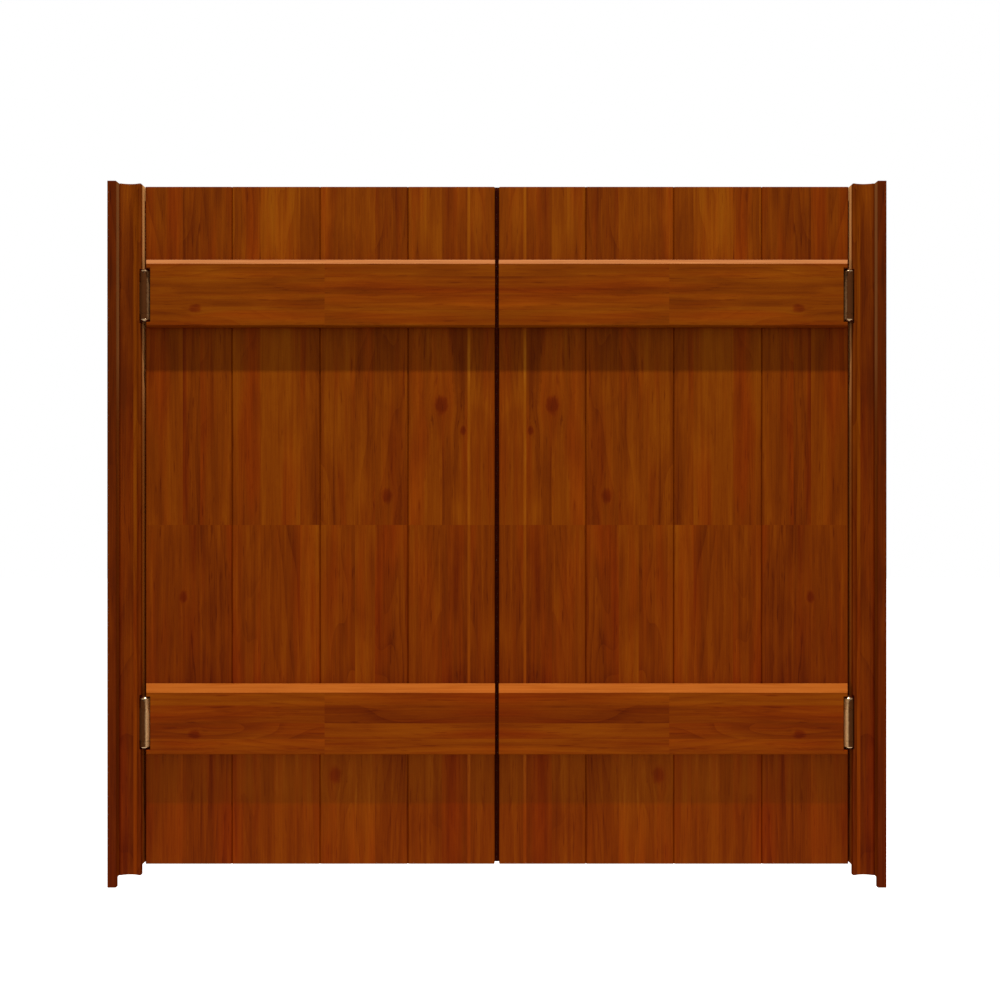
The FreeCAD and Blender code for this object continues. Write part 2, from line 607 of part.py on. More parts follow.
def jamb_leaf(side, level):
    """Plate let into the hanging strip, rolled at one edge into the jamb's spring barrel."""
    name = f"{side}_{level}_jamb_leaf"
    length = f"{LEAF_HIGH} - {LEAF_LOW}"
    back = f"({JAMB_SEAT} - dims.leaf_thickness)"
    neck_end = f"(2 * dims.leaf_thickness - {BARREL_Y})"
    plate = block(f"{name}_plate", (back, JAMB_SEAT), (neck_end, JAMB_LEAF_END), (LEAF_LOW, LEAF_HIGH))
    neck = block(f"{name}_neck", (back, f"({JAMB_SEAT} + dims.leaf_thickness)"),
                 (f"-{BARREL_Y}", neck_end), (LEAF_LOW, LEAF_HIGH))
    barrel = rod(f"{name}_barrel", "dims.barrel_radius", length, y=f"-{BARREL_Y}", z=LEAF_LOW)
    bore = rod(f"{name}_bore", BORE_RADIUS, f"{length} + 2 * dims.overcut",
               y=f"-{BARREL_Y}", z=f"{LEAF_LOW} - dims.overcut")
    tools = [bore] + leaf_holes(name, "jamb", JAMB_SEAT, Z_TO_MINUS_X)
    leaf = cut(name, joined(f"{name}_blank", [plate, neck, barrel]), tools)
    return node(name, at_hinge(leaf, side, level))


def door_leaf(side, level):
    """Plate let into the door's edge, rolled at one edge into the door's spring barrel."""
    name = f"{side}_{level}_door_leaf"
    length = f"{LEAF_HIGH} - {LEAF_LOW}"
    plate = block(f"{name}_plate", (DOOR_SEAT, f"({DOOR_SEAT} + dims.leaf_thickness)"),
                  (DOOR_LEAF_END, BARREL_Y), (LEAF_LOW, LEAF_HIGH))
    barrel = rod(f"{name}_barrel", "dims.barrel_radius", length, y=BARREL_Y, z=LEAF_LOW)
    bore = rod(f"{name}_bore", BORE_RADIUS, f"{length} + 2 * dims.overcut",
               y=BARREL_Y, z=f"{LEAF_LOW} - dims.overcut")
    tools = [bore] + leaf_holes(name, "door", DOOR_SEAT, Z_TO_PLUS_X)
    leaf = cut(name, joined(f"{name}_blank", [plate, barrel]), tools)
    return node(name, at_hinge(leaf, side, level))


def link_plate(side, level):
    """Plate through the hinge gap that ties the two barrels by a short knuckle at each end."""
    name = f"{side}_{level}_link_plate"
    xs = (f"({LINK_MIDDLE} - dims.link_thickness / 2)", f"({LINK_MIDDLE} + dims.link_thickness / 2)")
    barrels = (("jamb", f"-{BARREL_Y}"), ("door", BARREL_Y))
    pieces = [block(f"{name}_waist", xs, (f"-{RECESS_END}", RECESS_END), (LINK_LOW, LINK_HIGH))]
    bores = []
    for end, foot in (("low", LINK_LOW), ("high", HIGH_KNUCKLE_FOOT)):
        top = f"({foot} + dims.knuckle_height)"
        pieces.append(block(f"{name}_{end}_web", xs, (f"-{BARREL_Y}", BARREL_Y), (foot, top)))
        for face, y in barrels:
            pieces.append(rod(f"{name}_{end}_{face}_knuckle", "dims.barrel_radius",
                              "dims.knuckle_height", y=y, z=foot))
    for face, y in barrels:
        bores.append(rod(f"{name}_{face}_bore", BORE_RADIUS,
                         f"{LINK_HIGH} - {LINK_LOW} + 2 * dims.overcut",
                         y=y, z=f"{LINK_LOW} - dims.overcut"))
    plate = cut(name, joined(f"{name}_blank", pieces), bores)
    return node(name, at_hinge(plate, side, level))


def barrel_tip():
    """Domed end tip with a spigot below its disc and a blind hole for the pin's end."""
    rise = "(dims.tip_height - dims.tip_flange)"
    dome_radius = f"((dims.tip_radius ^ 2 + {rise} ^ 2) / (2 * {rise}))"
    dome = document.addObject("Part::Sphere", "barrel_tip_dome")
    bind(dome, {"Radius": dome_radius, "Angle1": f"asin(({dome_radius} - {rise}) / {dome_radius})"})
    place(dome, z=f"dims.tip_height - {dome_radius}")
    disc = rod("barrel_tip_disc", "dims.barrel_radius", "dims.tip_flange")
    spigot = rod("barrel_tip_spigot", SPIGOT_RADIUS, "dims.spigot_length", z="-dims.spigot_length")
    pin_hole = rod("barrel_tip_pin_hole", PIN_BORE,
                   "dims.spigot_length + dims.pin_end_depth + dims.running_play",
                   z="-dims.spigot_length")
    return cut("barrel_tip", joined("barrel_tip_blank", [disc, dome, spigot]), [pin_hole])


def tension_collar():
    """Collar over a barrel, drilled round its rim for the pin key that winds the spring."""
    ring = rod("collar_ring", "dims.barrel_radius", "dims.collar_height")
    spigot = rod("collar_spigot", SPIGOT_RADIUS, "dims.spigot_length", z="-dims.spigot_length")
    tip_seat = rod("collar_tip_seat", BORE_RADIUS,
                   "dims.spigot_length + dims.running_play + dims.overcut",
                   z="dims.collar_height - dims.spigot_length - dims.running_play")
    pin_bore = rod("collar_pin_bore", PIN_BORE,
                   "dims.collar_height + dims.spigot_length + 2 * dims.overcut",
                   z="-dims.spigot_length - dims.overcut")
    key_height = "(dims.collar_height - dims.spigot_length / 2)"
    outside = "(dims.barrel_radius + dims.overcut)"
    key_holes = [
        rod("collar_key_hole_x", "dims.key_radius", f"2 * {outside}",
            x=f"-{outside}", z=key_height, turn=Z_TO_PLUS_X),
        rod("collar_key_hole_y", "dims.key_radius", f"2 * {outside}",
            y=f"-{outside}", z=key_height, turn=Z_TO_PLUS_Y),
    ]
    return cut("tension_collar", joined("collar_blank", [ring, spigot]),
               [tip_seat, pin_bore] + key_holes)


def torsion_spring():
    """Round-wire torsion spring, its foot at z = 0, that clears the barrel's bore."""
    coil_radius = f"({BORE_RADIUS} - dims.spring_play - dims.wire_radius)"
    room = f"({LEAF_HIGH} - {LEAF_LOW} - 2 * dims.bush_length - 2 * dims.spring_play)"
    climb = f"({room} - 2 * dims.wire_radius)"
    helix = document.addObject("Part::Helix", "spring_helix")
    bind(helix, {"Radius": coil_radius, "Height": climb, "Pitch": f"{climb} / dims.spring_turns"})
    place(helix, z="dims.wire_radius")
    wire = document.addObject("Part::Circle", "spring_wire")
    wire.setExpression("Radius", "dims.wire_radius")
    place(wire, x=coil_radius, z="dims.wire_radius", turn=Z_TO_MINUS_Y)
    spring = document.addObject("Part::Sweep", "torsion_spring")
    spring.Sections = [wire]
    spring.Spine = (helix, [])
    spring.Solid = True
    spring.Frenet = True
    return spring


tip = barrel_tip()
collar = tension_collar()
spring = torsion_spring()
pin_reach = f"({BARREL_HALF} - dims.tip_height + dims.pin_end_depth)"
pin = rod("hinge_pin", "dims.pin_radius", f"2 * {pin_reach}", z=f"-{pin_reach}")
bush_ring = rod("bush_ring", SPIGOT_RADIUS, "dims.bush_length")
bush_bore = rod("bush_bore", PIN_BORE, "dims.bush_length + 2 * dims.overcut", z="-dims.overcut")
bush = cut("bush", bush_ring, [bush_bore])


def barrel_copies(name, side, barrels, original, z="0", turn=None):
    """Copies of a piece at height z in the named barrels of both hinges of one side."""
    offsets = {"jamb": f"-{BARREL_Y}", "door": BARREL_Y}
    copies = []
    for level in LEVELS:
        for barrel in barrels:
            x, y = hinge_point(side, "0", offsets[barrel])
            height = f"{HINGE_Z[level]} + ({z})"
            copies.append(copy_of(f"{name}_{level}_{barrel}", original, x, y, height, turn))
    return copies


def hinge_fittings(side):
    """The small parts of one side's two hinges, each kind as one group."""
    both = ("jamb", "door")
    name = f"{side}_hinge_pins"
    node(name, grouped(name, barrel_copies(name, side, both, pin)))
    name = f"{side}_hinge_springs"
    spring_foot = f"{LEAF_LOW} + dims.bush_length + dims.spring_play"
    node(name, grouped(name, barrel_copies(name, side, both, spring, spring_foot)))
    name = f"{side}_tension_collars"
    node(name, grouped(name, barrel_copies(name, side, both, collar, LINK_HIGH)))
    name = f"{side}_barrel_tips"
    top_tips = barrel_copies(f"{name}_top", side, both, tip, COLLAR_TOP)
    low_tips = barrel_copies(f"{name}_low", side, both, tip, LINK_LOW, UPSIDE_DOWN)
    node(name, grouped(name, top_tips + low_tips))
    for barrel in both:
        name = f"{side}_{barrel}_bushes"
        low = barrel_copies(f"{name}_low", side, [barrel], bush, LEAF_LOW)
        high = barrel_copies(f"{name}_high", side, [barrel], bush, f"{LEAF_HIGH} - dims.bush_length")
        node(name, grouped(name, low + high))
        name = f"{side}_{barrel}_leaf_screws"
        screws = []
        for level in LEVELS:
            screws += leaf_screw_copies(f"{name}_{level}", side, level, barrel, leaf_screw)
        node(name, grouped(name, screws))


def build_side(side):
    jamb_board(side)
    hanging_strip(side)
    name = f"{side}_strip_screws"
    node(name, grouped(name, strip_screw_copies(name, side, strip_screw)))
    for number in range(4):
        plank(side, number)
    for level in LEVELS:
        rail(side, level)
    name = f"{side}_rail_screws"
    node(name, grouped(name, rail_screw_copies(name, side, range(4), LEVELS, rail_screw)))
    meeting_seal(side)
    for level in LEVELS:
        jamb_leaf(side, level)
        link_plate(side, level)
        door_leaf(side, level)
    hinge_fittings(side)


for side in SIDES:
    build_side(side)
document.recompute()

for item in document.Objects:
    if "Invalid" in item.State or "Error" in item.State:
        raise RuntimeError(f"{item.Label} did not compute: {item.State}")
for item in nodes:
    if item.Shape.isNull() or not item.Shape.isValid() or not item.Shape.Solids:
        raise RuntimeError(f"{item.Label} has no valid solid")

os.makedirs("parts", exist_ok=True)
for item in nodes:
    item.Shape.exportStep(f"parts/{item.Label}.step")
    print(item.Label, len(item.Shape.Solids), round(item.Shape.Volume, 1))
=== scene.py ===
"""Looks of a pair of cafe swinging doors: stained, varnished boards and antique brass hinges.

Metres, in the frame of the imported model: X across the doorway, Y through it, Z up.
The two doors are book-matched, so the wood is drawn from the distance to the middle of the doorway.
"""

import math
import random

import bmesh
import bpy
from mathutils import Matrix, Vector


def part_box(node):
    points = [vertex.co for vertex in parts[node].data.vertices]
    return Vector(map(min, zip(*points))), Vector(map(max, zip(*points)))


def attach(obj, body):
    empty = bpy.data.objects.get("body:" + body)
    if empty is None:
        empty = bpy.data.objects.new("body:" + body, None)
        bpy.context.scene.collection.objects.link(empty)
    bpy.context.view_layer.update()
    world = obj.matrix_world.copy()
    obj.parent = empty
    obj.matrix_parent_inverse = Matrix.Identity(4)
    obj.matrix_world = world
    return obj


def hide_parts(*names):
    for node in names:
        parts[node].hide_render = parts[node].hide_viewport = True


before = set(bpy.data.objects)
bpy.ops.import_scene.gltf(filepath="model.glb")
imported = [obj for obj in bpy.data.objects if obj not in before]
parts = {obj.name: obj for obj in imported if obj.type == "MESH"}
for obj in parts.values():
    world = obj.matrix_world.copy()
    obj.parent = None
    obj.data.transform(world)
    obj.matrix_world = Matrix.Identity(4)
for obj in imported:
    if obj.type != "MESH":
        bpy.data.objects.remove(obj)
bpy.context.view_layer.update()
SIDES = {"left": -1, "right": 1}
LEVELS = ("lower", "upper")


# ---------------------------------------------------------------- shader helpers

def add(tree, kind, inputs=None, **settings):
    """Adds a shader node; inputs maps a socket to a value or to another node's output."""
    made = tree.nodes.new(kind)
    for key, setting in settings.items():
        setattr(made, key, setting)
    for socket, source in (inputs or {}).items():
        if isinstance(source, bpy.types.NodeSocket):
            tree.links.new(source, made.inputs[socket])
        else:
            made.inputs[socket].default_value = source
    return made


def maths(tree, operation, first, second=0.0, third=0.0, clamp=False):
    made = add(tree, "ShaderNodeMath", {0: first, 1: second, 2: third},
               operation=operation, use_clamp=clamp)
    return made.outputs[0]


def remapped(tree, source, low, high, to_low=0.0, to_high=1.0, smooth=False):
    made = add(tree, "ShaderNodeMapRange", {
        "Value": source, "From Min": low, "From Max": high, "To Min": to_low, "To Max": to_high,
    }, interpolation_type="SMOOTHSTEP" if smooth else "LINEAR")
    return made.outputs["Result"]


def scaled(tree, vector, factors):
    made = add(tree, "ShaderNodeVectorMath", {0: vector, 1: factors}, operation="MULTIPLY")
    return made.outputs[0]


def noise(tree, vector, detail=3.0, roughness=0.55, distortion=0.0):
    made = add(tree, "ShaderNodeTexNoise", {
        "Vector": vector, "Scale": 1.0, "Detail": detail, "Roughness": roughness,
        "Distortion": distortion,
    })
    return made.outputs["Fac"]


def ramp(tree, factor, stops, interpolation="LINEAR"):
    """Colour ramp; each stop is a position and either a colour or a grey level."""
    made = add(tree, "ShaderNodeValToRGB", {"Fac": factor})
    made.color_ramp.interpolation = interpolation
    elements = made.color_ramp.elements
    while len(elements) < len(stops):
        elements.new(1.0)
    for element, (position, tone) in zip(elements, stops):
        element.position = position
        rgb = tone if isinstance(tone, tuple) else (tone, tone, tone)
        element.color = (*rgb, 1.0)
    return made.outputs["Color"]


def mixed(tree, factor, first, second, blend="MIX"):
    made = add(tree, "ShaderNodeMix", data_type="RGBA", blend_type=blend)
    colour_sockets = [socket for socket in made.inputs if socket.type == "RGBA"]
    for socket, source in zip([made.inputs[0]] + colour_sockets, (factor, first, second)):
        if isinstance(source, bpy.types.NodeSocket):
            tree.links.new(source, socket)
        elif isinstance(source, tuple):
            socket.default_value = (*source, 1.0)
        else:
            socket.default_value = source
    return next(socket for socket in made.outputs if socket.type == "RGBA")


def new_group(name, inputs, outputs):
    tree = bpy.data.node_groups.new(name, "ShaderNodeTree")
    for label, kind in inputs:
        tree.interface.new_socket(label, in_out="INPUT", socket_type=f"NodeSocket{kind}")
    for label, kind in outputs:
        tree.interface.new_socket(label, in_out="OUTPUT", socket_type=f"NodeSocket{kind}")
    entry = tree.nodes.new("NodeGroupInput")
    leave = tree.nodes.new("NodeGroupOutput")
    return tree, entry.outputs, leave


def new_material(name):
    """Empty material with a Principled shader wired to its output."""
    material = bpy.data.materials.new(name)
    material.use_nodes = True
    tree = material.node_tree
    tree.nodes.clear()
    shader = add(tree, "ShaderNodeBsdfPrincipled")
    output = add(tree, "ShaderNodeOutputMaterial")
    tree.links.new(shader.outputs["BSDF"], output.inputs["Surface"])
    return material, tree, shader


def set_inputs(tree, shader, values):
    for socket, source in values.items():
        if isinstance(source, bpy.types.NodeSocket):
            tree.links.new(source, shader.inputs[socket])
        else:
            shader.inputs[socket].default_value = source


# ---------------------------------------------------------------- stained wood

DARKEST = (0.055, 0.0070, 0.0002)
DARK = (0.125, 0.0185, 0.0003)
MIDDLE = (0.205, 0.039, 0.0005)
LIGHT = (0.290, 0.072, 0.0015)
PALEST = (0.400, 0.135, 0.0080)


def knot_group():
    """Bends the grain round one knot and gives the knot's own darkness."""
    tree, given, leave = new_group(
        "knot",
        [("Grain", "Vector"), ("Across", "Float"), ("Along", "Float"), ("Radius", "Float")],
        [("Grain", "Vector"), ("Knot", "Float")])
    split = add(tree, "ShaderNodeSeparateXYZ", {0: given["Grain"]}).outputs
    off_across = maths(tree, "SUBTRACT", split["X"], given["Across"])
    off_along = maths(tree, "SUBTRACT", split["Z"], given["Along"])
    round_across = maths(tree, "DIVIDE", off_across, given["Radius"])
    round_along = maths(tree, "DIVIDE", off_along, maths(tree, "MULTIPLY", given["Radius"], 1.5))
    squared = maths(tree, "ADD", maths(tree, "POWER", maths(tree, "ABSOLUTE", round_across), 2.0),
                    maths(tree, "POWER", maths(tree, "ABSOLUTE", round_along), 2.0))
    ripple = noise(tree, scaled(tree, given["Grain"], (260.0, 260.0, 120.0)), 2.0)
    squared = maths(tree, "MULTIPLY", squared, maths(tree, "MULTIPLY_ADD", ripple, 1.9, 0.10))
    knot = remapped(tree, squared, 3.4, 0.0, smooth=True)
    # Fibres part round the knot: far more to its sides than above and below it.
    reach = maths(tree, "EXPONENT", maths(tree, "MULTIPLY", squared, -0.10))
    push = maths(tree, "MULTIPLY", maths(tree, "MULTIPLY", off_across, reach), -0.45)
    bent = add(tree, "ShaderNodeCombineXYZ", {
        "X": maths(tree, "ADD", split["X"], push), "Y": split["Y"], "Z": split["Z"]})
    tree.links.new(bent.outputs[0], leave.inputs["Grain"])
    tree.links.new(knot, leave.inputs["Knot"])
    return tree


def timber_group():
    """Stained timber from grain coordinates (across, depth, along) and the tone of the stave."""
    tree, given, leave = new_group(
        "stained_timber",
        [("Grain", "Vector"), ("Tone", "Float"), ("Lift", "Float"), ("Knot", "Float"), ("End", "Float")],
        [("Color", "Color"), ("Roughness", "Float"), ("Height", "Float")])
    grain = given["Grain"]
    # Each stave is cut from another place in the tree, so its tone also shifts its figure.
    shift = add(tree, "ShaderNodeCombineXYZ", {
        "X": maths(tree, "MULTIPLY", given["Tone"], 3.7), "Z": maths(tree, "MULTIPLY", given["Tone"], 9.1)})
    own = add(tree, "ShaderNodeVectorMath", {0: grain, 1: shift.outputs[0]}, operation="ADD").outputs[0]

    fibre = noise(tree, scaled(tree, own, (620.0, 620.0, 14.0)), 4.0, 0.62)
    streak = noise(tree, scaled(tree, own, (95.0, 60.0, 3.4)), 4.0, 0.6, 0.35)
    cloud = noise(tree, scaled(tree, own, (21.0, 21.0, 6.5)), 3.0, 0.5, 0.6)
    pores = noise(tree, scaled(tree, own, (1500.0, 1500.0, 75.0)), 2.0, 0.6)
    pores = remapped(tree, pores, 0.60, 0.72)
    flecks = noise(tree, scaled(tree, own, (330.0, 330.0, 26.0)), 1.0, 0.5)
    flecks = remapped(tree, flecks, 0.66, 0.76)

    # Growth rings: lines that wander slowly along the board, sharper on their dark side.
    wander = noise(tree, scaled(tree, own, (7.0, 7.0, 1.5)), 2.0, 0.5, 0.4)
    across = add(tree, "ShaderNodeSeparateXYZ", {0: own}).outputs["X"]
    phase = maths(tree, "ADD", maths(tree, "MULTIPLY", across, 70.0), maths(tree, "MULTIPLY", wander, 16.0))
    ring = maths(tree, "FRACT", phase)
    ring = maths(tree, "POWER", ring, 2.6)
    figured = remapped(tree, noise(tree, scaled(tree, own, (12.0, 12.0, 1.3)), 1.0), 0.40, 0.66)
    ring = maths(tree, "MULTIPLY", ring, figured)

    value = maths(tree, "MULTIPLY_ADD", maths(tree, "ADD", given["Tone"], given["Lift"]), 0.42, 0.29)
    value = maths(tree, "MULTIPLY_ADD", maths(tree, "SUBTRACT", streak, 0.5), 0.62, value)
    value = maths(tree, "MULTIPLY_ADD", maths(tree, "SUBTRACT", cloud, 0.5), 0.42, value)
    value = maths(tree, "MULTIPLY_ADD", maths(tree, "SUBTRACT", fibre, 0.5), 0.30, value)
    value = maths(tree, "MULTIPLY_ADD", ring, -0.13, value)
    value = maths(tree, "MULTIPLY_ADD", pores, -0.10, value)
    value = maths(tree, "MULTIPLY_ADD", flecks, -0.15, value)
    value = maths(tree, "MULTIPLY_ADD", given["Knot"], -0.20, value)
    value = maths(tree, "MULTIPLY_ADD", given["End"], -0.22, value, clamp=True)
    colour = ramp(tree, value, [(0.0, DARKEST), (0.28, DARK), (0.50, MIDDLE), (0.74, LIGHT), (1.0, PALEST)])

    # The stain takes redder in some places, and redder still round a knot.
    redness = remapped(tree, noise(tree, scaled(tree, own, (34.0, 34.0, 3.0)), 2.0), 0.48, 0.70)
    redness = maths(tree, "MULTIPLY_ADD", given["Knot"], 0.8, redness, clamp=True)
    colour = mixed(tree, maths(tree, "MULTIPLY", redness, 0.55), colour, (1.12, 0.66, 0.55), "MULTIPLY")

    rough = maths(tree, "MULTIPLY_ADD", fibre, 0.14, 0.36)
    rough = maths(tree, "MULTIPLY_ADD", given["End"], 0.15, rough)
    height = maths(tree, "MULTIPLY_ADD", pores, -0.8, fibre)
    tree.links.new(colour, leave.inputs["Color"])
    tree.links.new(rough, leave.inputs["Roughness"])
    tree.links.new(height, leave.inputs["Height"])
    return tree


KNOT = knot_group()
TIMBER = timber_group()


def stave_tone(tree, across, along, staves, butt):
    """Tone of the stave at a point: edges run outwards, and each stave has one tone below the butt
    joints and one above them."""
    first, last = staves[0][0], staves[-1][1]
    spot = remapped(tree, across, first, last)
    tones = []
    for index in (2, 3):
        stops = [((stave[0] - first) / (last - first), stave[index]) for stave in staves]
        tones.append(ramp(tree, spot, stops, "CONSTANT"))
    above = maths(tree, "GREATER_THAN", along, butt)
    return mixed(tree, above, tones[0], tones[1])


CREASE_STAIN = (0.60, 0.26, 0.08)
REDDEST = (1.05, 0.78, 0.60)
REDDENING = (0.95, -0.1)        # heights between which a board turns from plain to reddest
# Painted highlight on the rails' sloped tops, one colour for each rail.
TOP_LIGHT = {"upper": (0.43, 0.170, 0.058), "lower": (0.44, 0.118, 0.016)}
TOP_LIGHT_REACH = 0.03               # below a rail's top, where its sloped top gets the painted highlight
# Painted light on the sides towards the doors: its colour near the top, its colour near the foot, and its
# share by height.
SIDE_LIGHT_TOP = (0.95, 0.43, 0.13)
SIDE_LIGHT_FOOT = (0.95, 0.26, 0.035)
SIDE_LIGHT_SHARES = [(0.10, 0.14), (0.35, 0.27), (0.66, 0.33), (0.76, 1.0), (1.0, 1.0)]
# Painted light: colour of the pale notch walls that brighten the hinge barrels' reflections.
NOTCH_REFLECTOR = (0.66, 0.38, 0.16)
NOTCH_PLAY = 0.0035             # hinge barrel to the wall of a rail's notch
NOTCH_WALL = -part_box("left_upper_jamb_leaf")[1].x - NOTCH_PLAY
# Painted light: how much the boards' fronts are lightened in the lower rail's shadow, and under that rail.
PAINTED_LIGHT_IN_SHADOW = 0.26
PAINTED_LIGHT_UNDER_RAIL = 0.13
NO_BUTT = 10.0                  # a height that no board reaches


def paint_light_under_rail(tree, place, normal, painted_shading, lift):
    """Painted light under the lower rail: the boards' fronts are lightened below it, most in the shadow it
    throws, so that shadow looks weaker.
    """
    foot, top = painted_shading
    fronts = remapped(tree, normal["Y"], -0.3, -0.7)
    under_rail = remapped(tree, place["Z"], top + 0.004, top, smooth=True)
    under_rail = maths(tree, "MULTIPLY", under_rail, fronts)
    shaded = remapped(tree, place["Z"], foot - 0.005, foot + 0.005, smooth=True)
    shaded = maths(tree, "MULTIPLY", shaded, under_rail)
    lift = maths(tree, "MULTIPLY_ADD", shaded, PAINTED_LIGHT_IN_SHADOW, lift)
    return maths(tree, "MULTIPLY_ADD", under_rail, PAINTED_LIGHT_UNDER_RAIL, lift)


def side_band(tree, place, normal, front, back):
    """One on a band of the side towards the doors, from its front edge to its back edge."""
    inward = maths(tree, "MULTIPLY", normal["X"], maths(tree, "SIGN", place["X"]))
    sideways = remapped(tree, inward, -0.8, -0.95)
    behind = remapped(tree, place["Y"], front - 0.001, front + 0.006)
    before = remapped(tree, place["Y"], back + 0.001, back - 0.001, smooth=True)
    return maths(tree, "MULTIPLY", sideways, maths(tree, "MULTIPLY", behind, before))


def paint_side_light(tree, place, band, share, colour):
    """Painted light on the band: the lit side towards the doors, in a share that grows towards the top and
    is full from just under the upper rail upward, making up for that rail's shadow; redder towards the
    foot.
    """
    rise = ramp(tree, place["Z"], SIDE_LIGHT_SHARES)
    side_light = maths(tree, "MULTIPLY", maths(tree, "MULTIPLY", band, rise), share)
    redder = remapped(tree, place["Z"], 0.85, 0.45, smooth=True)
    return mixed(tree, side_light, colour, mixed(tree, redder, SIDE_LIGHT_TOP, SIDE_LIGHT_FOOT))


def paint_top_light(tree, place, normal, grain, top, pale, colour):
    """Painted highlight on the upward-facing tops near a rail's top, laid in patches."""
    patches = noise(tree, scaled(tree, grain, (60.0, 330.0, 11.0)), 4.0, 0.65, 0.5)
    patches = remapped(tree, patches, 0.32, 0.68, 0.40, 0.88)
    upward = maths(tree, "MULTIPLY", remapped(tree, normal["Z"], 0.5, 0.85), patches)
    near_top = maths(tree, "GREATER_THAN", place["Z"], top - TOP_LIGHT_REACH)
    return mixed(tree, maths(tree, "MULTIPLY", upward, near_top), colour, pale)


def pale_notch_walls(tree, normal, from_middle, colour):
    """Painted light: the walls of the notches that clear the hinges are pale, so the barrels beside them
    reflect more light.
    """
    upright = remapped(tree, maths(tree, "ABSOLUTE", normal["X"]), 0.8, 0.9)
    off_wall = maths(tree, "ABSOLUTE", maths(tree, "SUBTRACT", from_middle, NOTCH_WALL))
    wall = remapped(tree, off_wall, 0.002, 0.001)
    return mixed(tree, maths(tree, "MULTIPLY", upright, wall), colour, NOTCH_REFLECTOR)


def wood(name, runs_along, staves, butt=NO_BUTT, knots=(), seed=0.0, tone=0.0, lift=0.0,
         painted_top_light=None, painted_side_light=None, painted_shading=None):
    """Stained wood whose grain runs along X or Z. The sizes of staves and knots are distances from the
    middle of the doorway and heights above its foot. Tone shifts the figure too, and lift doesn't."""
    material, tree, shader = new_material(name)
    coordinates = add(tree, "ShaderNodeTexCoord").outputs
    place = add(tree, "ShaderNodeSeparateXYZ", {0: coordinates["Object"]}).outputs
    normal = add(tree, "ShaderNodeSeparateXYZ", {0: coordinates["Normal"]}).outputs
    from_middle = maths(tree, "ABSOLUTE", place["X"])
    if runs_along == "Z":
        across, along, end_normal = from_middle, place["Z"], normal["Z"]
    else:
        across, along, end_normal = place["Z"], from_middle, normal["X"]

    tones = stave_tone(tree, across, along, staves, butt)
    grain = add(tree, "ShaderNodeCombineXYZ", {"X": across, "Y": place["Y"], "Z": along}).outputs[0]
    darkness = 0.0
    for knot_across, knot_along, radius in knots:
        bend = add(tree, "ShaderNodeGroup", node_tree=KNOT)
        set_inputs(tree, bend, {
            "Grain": grain, "Across": knot_across, "Along": knot_along, "Radius": radius})
        grain = bend.outputs["Grain"]
        darkness = maths(tree, "MAXIMUM", bend.outputs["Knot"], darkness)
    place_in_tree = (seed, 0.3 * seed, 2.0 * seed)
    grain = add(tree, "ShaderNodeVectorMath", {0: grain, 1: place_in_tree}, operation="ADD").outputs[0]
    end = remapped(tree, maths(tree, "ABSOLUTE", end_normal), 0.6, 0.95, smooth=True)
    # Painted light under the lower rail, which weakens its shadow.
    if painted_shading:
        lift = paint_light_under_rail(tree, place, normal, painted_shading, lift)
    timber = add(tree, "ShaderNodeGroup", node_tree=TIMBER)
    set_inputs(tree, timber, {
        "Grain": grain, "Tone": maths(tree, "ADD", tones, tone), "Lift": lift,
        "Knot": darkness, "End": end})
    # The boards are redder towards their feet.
    low = remapped(tree, place["Z"], *REDDENING, smooth=True)
    warm = mixed(tree, low, timber.outputs["Color"], REDDEST, "MULTIPLY")
    # Stain pools and darkens where boards meet.
    crease = add(tree, "ShaderNodeAmbientOcclusion", {"Distance": 0.006}, samples=4, only_local=False)
    pooled = remapped(tree, crease.outputs["AO"], 0.85, 0.25)
    # Painted side light: a lit band on the side towards the doors, which also takes the crease darkening
    # out of that band.
    if painted_side_light:
        front, back, share = painted_side_light
        band = side_band(tree, place, normal, front, back)
        pooled = maths(tree, "MULTIPLY_ADD", band, -0.85, pooled, clamp=True)
    colour = mixed(tree, pooled, warm, CREASE_STAIN, "MULTIPLY")
    if painted_side_light:
        colour = paint_side_light(tree, place, band, share, colour)
    # Painted highlight on the rails' tops, and pale notch walls that brighten the hinge barrels.
    if painted_top_light:
        top, pale = painted_top_light
        colour = paint_top_light(tree, place, normal, grain, top, pale, colour)
        colour = pale_notch_walls(tree, normal, from_middle, colour)
    eased = add(tree, "ShaderNodeBevel", {"Radius": 0.0008}, samples=4)
    bump = add(tree, "ShaderNodeBump", {
        "Strength": 0.30, "Distance": 0.0002, "Height": timber.outputs["Height"],
        "Normal": eased.outputs["Normal"]})
    # The thin varnish shines where it is looked at squarely, and has worn dull at a slant.
    slant = add(tree, "ShaderNodeLayerWeight", {"Blend": 0.5}).outputs["Facing"]
    set_inputs(tree, shader, {
        "Base Color": colour, "Roughness": timber.outputs["Roughness"], "Normal": bump.outputs["Normal"],
        "Specular IOR Level": remapped(tree, slant, 0.1, 0.5, 0.03, 0.0)})
    return material


